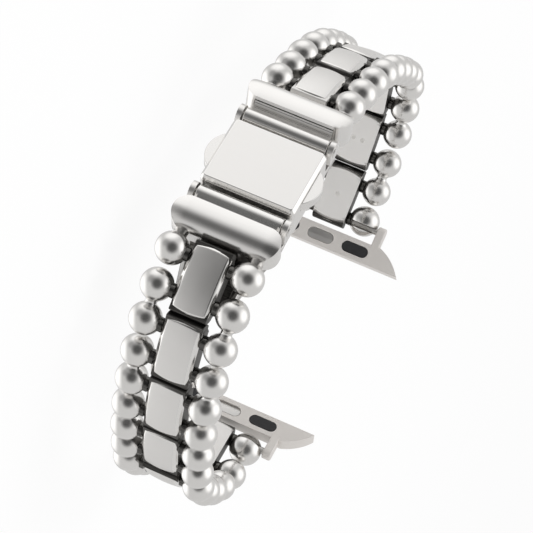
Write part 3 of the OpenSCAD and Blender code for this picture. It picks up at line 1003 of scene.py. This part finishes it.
class BRACELET_OT_blades(bpy.types.Operator):
    """Builds the clasp's base blade and its two arms, with eased edges"""

    bl_idname = "bracelet.blades"
    bl_label = "Clasp blades"

    def execute(self, context):
        middle = clasp_place().to_translation().x
        core = 4.5 * MM
        for node, body in (("clasp_base", "clasp"), ("right_arm", "right_arm"), ("left_arm", "left_arm")):
            bm = solid_copy(node)
            for v in bm.verts:
                if core < abs(v.co.z):
                    v.co.z *= drawn_in(v.co.x - middle)
            if body == "clasp":
                finish = brushed_material()
            else:
                finish = steel_material("Satin arm steel", roughness=0.3)
                bar = joint_at(body.replace("arm", "end_swing"))
                bm = trim_below_ears(bm, bar)
                # Painted shade on the arm faces that lie deep towards the wrist
                mark(bm, [f for f in bm.faces if f.calc_center_median().y > bar.y + 1.9 * MM], "painted_shade")
            piece = finish_piece(bm, node, Matrix(), body, finish, smooth=30)
            ease = piece.modifiers.new("Eased edges", "BEVEL")
            ease.width = 0.12 * MM
            ease.segments = 2
            ease.limit_method = "ANGLE"
            ease.angle_limit = math.radians(40)
            piece.modifiers.move(1, 0)
        return {"FINISHED"}


class BRACELET_OT_pins(bpy.types.Operator):
    """Gives the pins, hinge bars, spring bars and the coil spring their turned finish"""

    bl_idname = "bracelet.pins"
    bl_label = "Pins and springs"

    def execute(self, context):
        for node, piece in frame["nodes"].items():
            if ("pins" in node or "spring" in node) and node != "clasp_hinge_pins":
                piece.data.materials.clear()
                piece.data.materials.append(turned_material())
        bm = solid_copy("clasp_hinge_pins")
        middle = clasp_place().to_translation().x
        for v in bm.verts:
            side = "right" if v.co.x > middle else "left"
            v.co.z *= drawn_in(joint_at(f"{side}_arm_fold").x - middle)
        finish_piece(bm, "clasp_hinge_pins", Matrix(), "clasp", turned_material())
        for side in SIDES:
            bm = bmesh.new()
            for s in (-1, 1):
                add_form(bm, rod_form(1.0, *sorted((s * 8.4, s * 8.68)), sides=32, edge=0.14))
            finish_piece(bm, f"{side}_bar_heads", end_place(side), f"{side}_end", button_steel())
        return {"FINISHED"}


# ---- the adapters


def rail_form(near, far, tip, thick):
    """One half of the horned rail, mirrored across the band's middle."""
    radius = 9.3
    centre = Vector((far + radius * 0.51, 0, tip - radius * 0.86))
    bm = moved(rod_form(radius, -thick / 2, thick / 2, axis=1, sides=128), *centre)
    keep_side(bm, (near, 0, 0), (-1, 0, 0))
    keep_side(bm, (far, 0, 0), (1, 0, 0))
    for v in grow(bm, keep_side(bm, (0, 0, centre.z), (0, 0, -1), cap=False)):
        v.co.z = 0
    bmesh.ops.mirror(bm, geom=everything(bm), axis="Z", merge_dist=1e-3)
    bmesh.ops.remove_doubles(bm, verts=bm.verts, dist=1e-3)
    bmesh.ops.recalc_face_normals(bm, faces=bm.faces)
    return bm


def fork_form(s):
    """One of the two arms that carry the rail on the spring bar."""
    rail_edge, taper = 3.6, 0.9
    arm = rod_form(1.15, *sorted((s * 9.6, s * 11.2)), sides=48)
    for v in grow(arm, keep_side(arm, (0, 0, 0), (1, 0, 0), cap=False)):
        v.co.x = rail_edge
        v.co.y *= taper
    bmesh.ops.holes_fill(arm, edges=arm.edges)
    bmesh.ops.recalc_face_normals(arm, faces=arm.faces)
    soften(arm, sharp_edges(arm, 60), 0.25, 3)
    return arm


class BRACELET_OT_adapters(bpy.types.Operator):
    """Builds the horned rails with their pockets and the two arms of each adapter"""

    bl_idname = "bracelet.adapters"
    bl_label = "Adapters"

    def execute(self, context):
        near, far, tip, thick = 2.8, 6.8, in_mm("rail_width")[0] / 2, 2.5
        middle, face = (near + far) / 2, thick / 2 - BAR_DEEP

        def at_mouth(place):
            return abs(place.y - face) < 0.01 and near + 0.5 < place.x < far - 0.5

        for side in SIDES:
            bm = rail_form(near, far, tip, thick)
            long_edges = [e for e in sharp_edges(bm, 40) if lean(e, 1) < 0.5]
            # The adapter's material paints these polished edges, and the pockets' mouths below, lighter as a
            # painted highlight
            mark(bm, soften(bm, long_edges, 0.4, 3), "polish", 0.5)
            moved(bm, 0, -BAR_DEEP)
            pockets = [
                oval_form(width, 5.22, face - deep, face + 2, (middle, z))
                for width, deep, z in ((2.22, 1.9, 0), (2.12, 0.8, PAD_ASIDE), (2.12, 0.8, -PAD_ASIDE))
            ]
            bm = carve(bm, *pockets)
            mouth = [e for e in sharp_edges(bm, 60) if all(at_mouth(v.co) for v in e.verts)]
            mark(bm, soften(bm, mouth, 0.16, 2), "polish")
            for s in (-1, 1):
                add_form(bm, fork_form(s))
            node = f"{side}_adapter"
            finish_piece(bm, node, adapter_place(side), node, blasted_material(), smooth=45)
        return {"FINISHED"}


class BRACELET_OT_locks(bpy.types.Operator):
    """Builds the sprung lock buttons and the rubber pads in the rails"""

    bl_idname = "bracelet.locks"
    bl_label = "Lock buttons and pads"

    def execute(self, context):
        middle, face = 4.8, 1.0
        for side in SIDES:
            lock = oval_form(2.1, 5.1, face - 1.3, face - 0.1, (middle, 0))
            slices(lock, 0, [middle - 0.15, middle + 0.15])
            for v in lock.verts:
                if v.co.y > face - 0.2:
                    v.co.y -= 0.28 * max(0.0, v.co.x - middle)
            soften(lock, sharp_edges(lock, 50), 0.12, 2)
            steel = steel_material("Satin lock steel", tone=0.82, roughness=0.3)
            place = adapter_place(side)
            finish_piece(lock, f"{side}_lock_button", place, f"{side}_lock", steel)
            pads = bmesh.new()
            for z in (-PAD_ASIDE, PAD_ASIDE):
                add_form(pads, oval_form(2.1, 5.2, face - 0.8, face + 0.05, (middle, z), edge=0.12))
            finish_piece(pads, f"{side}_pads", place, f"{side}_adapter", rubber_material())
        return {"FINISHED"}


# ---- the stage

# Soft boxes and shades on the tent's walls, in degrees away from its opening, round it and wide, and their gain
SOFT_BOXES = ((84, 0, 42, 0.75), (112, 180, 48, 0.8), (92, 90, 42, 0.55), (54, 135, 32, -0.32))
# The dark opening's own place: degrees away from the lens, and round it
OPENING_AWAY, OPENING_CLOCK = 6, 50
# The camera's place in metres, and the directions across and down its picture
CAMERA_PLACE = (0.18934, -0.29217, 0.0721)
ACROSS = Vector((-0.4272, -0.0476, 0.9029))
DOWN = Vector((0.7386, 0.5575, 0.3789))
AHEAD = ACROSS.cross(DOWN)
# Lamps: name, place and width in metres, and power in watts
LAMPS = (("Key", (-0.35, -0.45, 0.6), 0.5, 1.2), ("Rim", (0.5, 0.35, 0.5), 0.4, 0.8))
WHITE = (1.0, 1.0, 1.0, 1.0)


def show_to_eyes(tree, lit, seen, target):
    """Gives one shader to rays from the camera, mirrors and glass, and another to the light itself."""
    path = add_node(tree, "LightPath").outputs
    eye = math_node(tree, "MAXIMUM", path["Is Camera Ray"], path["Is Glossy Ray"])
    eye = math_node(tree, "MAXIMUM", eye, path["Is Transmission Ray"])
    tree.links.new(mix_shaders(tree, eye, lit, seen), target)


def mix_shaders(tree, factor, a, b):
    n = fill_in(tree, tree.nodes.new("ShaderNodeMixShader"), Fac=factor)
    tree.links.new(a, n.inputs[1])
    tree.links.new(b, n.inputs[2])
    return n.outputs[0]


def lobe(tree, where, away, clock, edge, core, gain):
    """A soft round patch of the tent, away from the camera's side by one angle and round it by another."""
    away, clock = math.radians(away), math.radians(clock)
    aside = math.cos(clock) * ACROSS - math.sin(clock) * DOWN
    aim = math.sin(away) * aside - math.cos(away) * AHEAD
    near = vector_node(tree, "DOT_PRODUCT", where, aim)["Value"]
    soft = add_node(tree, "MapRange", From_Min=edge, From_Max=core, To_Max=gain, Value=near)
    soft.interpolation_type = "SMOOTHSTEP"
    return soft.outputs["Result"]


class BRACELET_OT_stage(bpy.types.Operator):
    """Sets the pale floor, the white tent round it, the lamps and the camera"""

    bl_idname = "bracelet.stage"
    bl_label = "Stage"

    def execute(self, context):
        scene = context.scene
        self.add_camera(scene)
        self.add_floor(scene)
        self.add_world(scene)
        self.add_lamps(scene)
        scene.view_settings.view_transform = "Standard"
        return {"FINISHED"}

    def add_camera(self, scene):
        data = bpy.data.cameras.new("Camera")
        data.lens = scene.bracelet_stage.lens
        data.sensor_width = 36
        data.clip_start = 0.01
        data.clip_end = 20
        camera = bpy.data.objects.new("Camera", data)
        turn = Matrix((ACROSS, -DOWN, -AHEAD)).transposed()
        camera.matrix_world = Matrix.Translation(CAMERA_PLACE) @ turn.to_4x4()
        scene.collection.objects.link(camera)
        scene.camera = camera

    def add_floor(self, scene):
        stage = scene.bracelet_stage
        bm = bmesh.new()
        low = Matrix.Translation((0, 0, solid_box[0].z))
        bmesh.ops.create_grid(bm, x_segments=1, y_segments=1, size=6.0, matrix=low)
        floor = as_object(bm, "Floor")
        floor.visible_glossy = False
        material, tree, shader = start_material("Pale floor")
        fill_in(tree, shader, Base_Color=(*stage.floor, 1.0), Roughness=0.9, Specular_IOR_Level=0.0)
        white = add_node(tree, "Emission", Color=WHITE, Strength=stage.glow)
        pale = mix_shaders(tree, 0.86, shader.outputs[0], white.outputs[0])
        show_to_eyes(tree, shader.outputs[0], pale, tree.nodes["Material Output"].inputs["Surface"])
        floor.data.materials.append(material)

    def add_world(self, scene):
        stage = scene.bracelet_stage
        world = bpy.data.worlds.new("White tent")
        world.use_nodes = True
        scene.world = world
        tree = world.node_tree
        tree.nodes.clear()
        where = add_node(tree, "TexCoord").outputs["Generated"]
        tent = stage.walls
        for away, clock, reach, gain in SOFT_BOXES:
            glow = lobe(tree, where, away, clock, math.cos(math.radians(reach)), 1.0, gain)
            tent = math_node(tree, "ADD", glow, tent)
        rim, core = math.cos(stage.opening), math.cos(stage.opening * 0.35)
        opening = lobe(tree, where, OPENING_AWAY, OPENING_CLOCK, rim, core, 1.0)
        tent = mix(tree, "FLOAT", opening, tent, stage.opening_shade)
        path = add_node(tree, "LightPath").outputs
        tent = mix(tree, "FLOAT", path["Is Camera Ray"], tent, stage.glow)
        seen = add_node(tree, "Background", Color=WHITE, Strength=tent)
        light = add_node(tree, "Background", Color=WHITE, Strength=stage.fill)
        out = add_node(tree, "OutputWorld")
        show_to_eyes(tree, light.outputs[0], seen.outputs[0], out.inputs["Surface"])

    def add_lamps(self, scene):
        for name, place, size, power in LAMPS:
            data = bpy.data.lights.new(name, "AREA")
            data.shape = "DISK"
            data.size = size
            data.energy = power
            lamp = bpy.data.objects.new(name, data)
            lamp.visible_glossy = False
            aim = (-Vector(place)).to_track_quat("-Z", "Y").to_matrix().to_4x4()
            lamp.matrix_world = Matrix.Translation(place) @ aim
            scene.collection.objects.link(lamp)


# ---- the panel

PIECES = (
    BRACELET_OT_blocks,
    BRACELET_OT_beads,
    BRACELET_OT_slotted_beads,
    BRACELET_OT_end_pieces,
    BRACELET_OT_cover,
    BRACELET_OT_buttons,
    BRACELET_OT_blades,
    BRACELET_OT_pins,
    BRACELET_OT_adapters,
    BRACELET_OT_locks,
    BRACELET_OT_stage,
)
GROUPS = (
    (BraceletSizes, "bracelet_sizes"),
    (BraceletLooks, "bracelet_looks"),
    (BraceletStage, "bracelet_stage"),
)


class BRACELET_PT_panel(bpy.types.Panel):
    """Lists the bracelet's pieces, sizes and finishes"""

    bl_idname = "BRACELET_PT_panel"
    bl_label = "Link bracelet"
    bl_space_type = "VIEW_3D"
    bl_region_type = "UI"
    bl_category = "Bracelet"

    def draw(self, context):
        column = self.layout.column()
        for piece in PIECES:
            column.operator(piece.bl_idname)
        for _, group in GROUPS:
            values = getattr(context.scene, group)
            box = self.layout.box()
            for name in values.__annotations__:
                box.prop(values, name)


def register():
    for group, name in GROUPS:
        bpy.utils.register_class(group)
        setattr(bpy.types.Scene, name, bpy.props.PointerProperty(type=group))
    for piece in PIECES + (BRACELET_PT_panel,):
        bpy.utils.register_class(piece)


def unregister():
    for piece in reversed(PIECES + (BRACELET_PT_panel,)):
        bpy.utils.unregister_class(piece)
    for group, name in reversed(GROUPS):
        delattr(bpy.types.Scene, name)
        bpy.utils.unregister_class(group)


def main():
    register()
    for piece in PIECES:
        family, action = piece.bl_idname.split(".")
        getattr(getattr(bpy.ops, family), action)()


if __name__ == "__main__":
    main()
